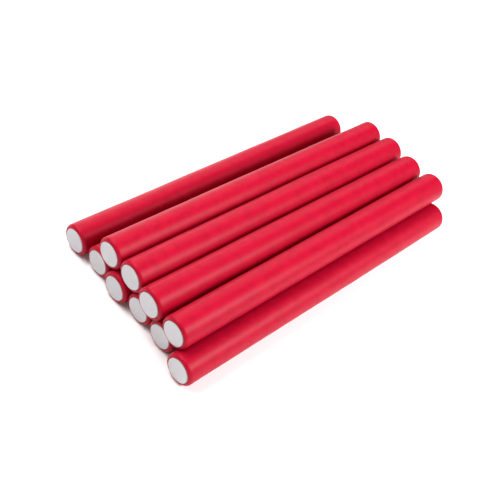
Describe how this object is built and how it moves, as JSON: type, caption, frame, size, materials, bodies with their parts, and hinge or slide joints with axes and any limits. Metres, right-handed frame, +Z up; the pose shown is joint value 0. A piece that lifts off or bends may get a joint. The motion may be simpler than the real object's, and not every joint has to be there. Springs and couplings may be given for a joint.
{
  "type": "foam hair roller set",
  "caption": "Bendable foam hair rollers with red sleeves and white end caps, stacked in a lower and an upper row; the outer and upper rollers fold in half.",
  "frame": {"origin": "on the surface that the stack lies on, under the middle of its box", "axes": "+X along the rollers from their near ends to their far ends, -Y across the rows from bottom_1 to bottom_6, +Z up"},
  "size_m": [0.252, 0.1312, 0.0373],
  "materials": {
    "red_foam": "matte",
    "white_plastic": "satin",
    "core_wire": "satin"
  },
  "bodies": {
    "bottom_1": {"bottom_1_foam_near": "red_foam", "bottom_1_core_wire": "core_wire", "bottom_1_near_cap": "white_plastic"},
    "bottom_1_middle": {"bottom_1_foam_middle": "red_foam"},
    "bottom_1_far": {"bottom_1_foam_far": "red_foam", "bottom_1_far_cap": "white_plastic"},
    "bottom_2": {"bottom_2_foam": "red_foam", "bottom_2_core_wire": "core_wire", "bottom_2_near_cap": "white_plastic", "bottom_2_far_cap": "white_plastic"},
    "bottom_3": {"bottom_3_foam": "red_foam", "bottom_3_core_wire": "core_wire", "bottom_3_near_cap": "white_plastic", "bottom_3_far_cap": "white_plastic"},
    "bottom_4": {"bottom_4_foam": "red_foam", "bottom_4_core_wire": "core_wire", "bottom_4_near_cap": "white_plastic", "bottom_4_far_cap": "white_plastic"},
    "bottom_5": {"bottom_5_foam": "red_foam", "bottom_5_core_wire": "core_wire", "bottom_5_near_cap": "white_plastic", "bottom_5_far_cap": "white_plastic"},
    "bottom_6": {"bottom_6_foam_near": "red_foam", "bottom_6_core_wire": "core_wire", "bottom_6_near_cap": "white_plastic"},
    "bottom_6_middle": {"bottom_6_foam_middle": "red_foam"},
    "bottom_6_far": {"bottom_6_foam_far": "red_foam", "bottom_6_far_cap": "white_plastic"},
    "top_1": {"top_1_foam_near": "red_foam", "top_1_core_wire": "core_wire", "top_1_near_cap": "white_plastic"},
    "top_1_middle": {"top_1_foam_middle": "red_foam"},
    "top_1_far": {"top_1_foam_far": "red_foam", "top_1_far_cap": "white_plastic"},
    "top_2": {"top_2_foam_near": "red_foam", "top_2_core_wire": "core_wire", "top_2_near_cap": "white_plastic"},
    "top_2_middle": {"top_2_foam_middle": "red_foam"},
    "top_2_far": {"top_2_foam_far": "red_foam", "top_2_far_cap": "white_plastic"},
    "top_3": {"top_3_foam_near": "red_foam", "top_3_core_wire": "core_wire", "top_3_near_cap": "white_plastic"},
    "top_3_middle": {"top_3_foam_middle": "red_foam"},
    "top_3_far": {"top_3_foam_far": "red_foam", "top_3_far_cap": "white_plastic"},
    "top_4": {"top_4_foam_near": "red_foam", "top_4_core_wire": "core_wire", "top_4_near_cap": "white_plastic"},
    "top_4_middle": {"top_4_foam_middle": "red_foam"},
    "top_4_far": {"top_4_foam_far": "red_foam", "top_4_far_cap": "white_plastic"}
  },
  "joints": [
    {"name": "bottom_1_pull_out", "type": "slide", "parent": "bottom_4", "child": "bottom_1", "axis": [-1, -0.0061, 0], "range_m": [0, 0.26]},
    {"name": "bottom_1_bend", "type": "hinge", "parent": "bottom_1", "child": "bottom_1_middle", "pos_m": [-0.01271, 0.05488, 0.00988], "axis": [0, 0, 1], "range_deg": [0, 90], "deforming": ["bottom_1_foam_middle", "bottom_1_core_wire"]},
    {"name": "bottom_1_bend_far", "type": "hinge", "parent": "bottom_1_middle", "child": "bottom_1_far", "pos_m": [0.02329, 0.0551, 0.00988], "axis": [0, 0, 1], "range_deg": [0, 90], "deforming": ["bottom_1_foam_middle", "bottom_1_core_wire"]},
    {"name": "bottom_2_pull_out", "type": "slide", "parent": "bottom_4", "child": "bottom_2", "axis": [-1, 0, 0], "range_m": [0, 0.26]},
    {"name": "bottom_3_pull_out", "type": "slide", "parent": "bottom_4", "child": "bottom_3", "axis": [-1, 0, 0], "range_m": [0, 0.26]},
    {"name": "bottom_5_pull_out", "type": "slide", "parent": "bottom_4", "child": "bottom_5", "axis": [-1, 0, 0], "range_m": [0, 0.26]},
    {"name": "bottom_6_pull_out", "type": "slide", "parent": "bottom_4", "child": "bottom_6", "axis": [-0.9999, -0.011, 0], "range_m": [0, 0.26]},
    {"name": "bottom_6_bend", "type": "hinge", "parent": "bottom_6", "child": "bottom_6_middle", "pos_m": [-0.02391, -0.05462, 0.00988], "axis": [0, 0, -1], "range_deg": [0, 90], "deforming": ["bottom_6_foam_middle", "bottom_6_core_wire"]},
    {"name": "bottom_6_bend_far", "type": "hinge", "parent": "bottom_6_middle", "child": "bottom_6_far", "pos_m": [0.01208, -0.05422, 0.00988], "axis": [0, 0, -1], "range_deg": [0, 90], "deforming": ["bottom_6_foam_middle", "bottom_6_core_wire"]},
    {"name": "top_1_lift", "type": "slide", "parent": "bottom_4", "child": "top_1", "axis": [0, 0, 1], "range_m": [0, 0.1]},
    {"name": "top_1_bend", "type": "hinge", "parent": "top_1", "child": "top_1_middle", "pos_m": [-0.01391, 0.02136, 0.027], "axis": [0, -1, 0], "range_deg": [0, 90], "deforming": ["top_1_foam_middle", "top_1_core_wire"]},
    {"name": "top_1_bend_far", "type": "hinge", "parent": "top_1_middle", "child": "top_1_far", "pos_m": [0.02209, 0.02136, 0.027], "axis": [0, -1, 0], "range_deg": [0, 90], "deforming": ["top_1_foam_middle", "top_1_core_wire"]},
    {"name": "top_2_lift", "type": "slide", "parent": "bottom_4", "child": "top_2", "axis": [0, 0, 1], "range_m": [0, 0.1]},
    {"name": "top_2_bend", "type": "hinge", "parent": "top_2", "child": "top_2_middle", "pos_m": [-0.01511, 0.00026, 0.02743], "axis": [0, -1, 0], "range_deg": [0, 90], "deforming": ["top_2_foam_middle", "top_2_core_wire"]},
    {"name": "top_2_bend_far", "type": "hinge", "parent": "top_2_middle", "child": "top_2_far", "pos_m": [0.02089, 0.00026, 0.02743], "axis": [0, -1, 0], "range_deg": [0, 90], "deforming": ["top_2_foam_middle", "top_2_core_wire"]},
    {"name": "top_3_lift", "type": "slide", "parent": "bottom_4", "child": "top_3", "axis": [0, 0, 1], "range_m": [0, 0.1]},
    {"name": "top_3_bend", "type": "hinge", "parent": "top_3", "child": "top_3_middle", "pos_m": [-0.01891, -0.02094, 0.02694], "axis": [0, -1, 0], "range_deg": [0, 90], "deforming": ["top_3_foam_middle", "top_3_core_wire"]},
    {"name": "top_3_bend_far", "type": "hinge", "parent": "top_3_middle", "child": "top_3_far", "pos_m": [0.01709, -0.02094, 0.02694], "axis": [0, -1, 0], "range_deg": [0, 90], "deforming": ["top_3_foam_middle", "top_3_core_wire"]},
    {"name": "top_4_lift", "type": "slide", "parent": "bottom_4", "child": "top_4", "axis": [0, 0, 1], "range_m": [0, 0.1]},
    {"name": "top_4_bend", "type": "hinge", "parent": "top_4", "child": "top_4_middle", "pos_m": [-0.02021, -0.04326, 0.02671], "axis": [0.0055, -1, 0], "range_deg": [0, 90], "deforming": ["top_4_foam_middle", "top_4_core_wire"]},
    {"name": "top_4_bend_far", "type": "hinge", "parent": "top_4_middle", "child": "top_4_far", "pos_m": [0.01579, -0.04306, 0.02684], "axis": [0.0055, -1, 0], "range_deg": [0, 90], "deforming": ["top_4_foam_middle", "top_4_core_wire"]}
  ],
  "couplings": [
    {"joint": "bottom_1_bend_far", "follows": "bottom_1_bend", "ratio": 1},
    {"joint": "bottom_6_bend_far", "follows": "bottom_6_bend", "ratio": 1},
    {"joint": "top_1_bend_far", "follows": "top_1_bend", "ratio": 1},
    {"joint": "top_2_bend_far", "follows": "top_2_bend", "ratio": 1},
    {"joint": "top_3_bend_far", "follows": "top_3_bend", "ratio": 1},
    {"joint": "top_4_bend_far", "follows": "top_4_bend", "ratio": 1}
  ]
}
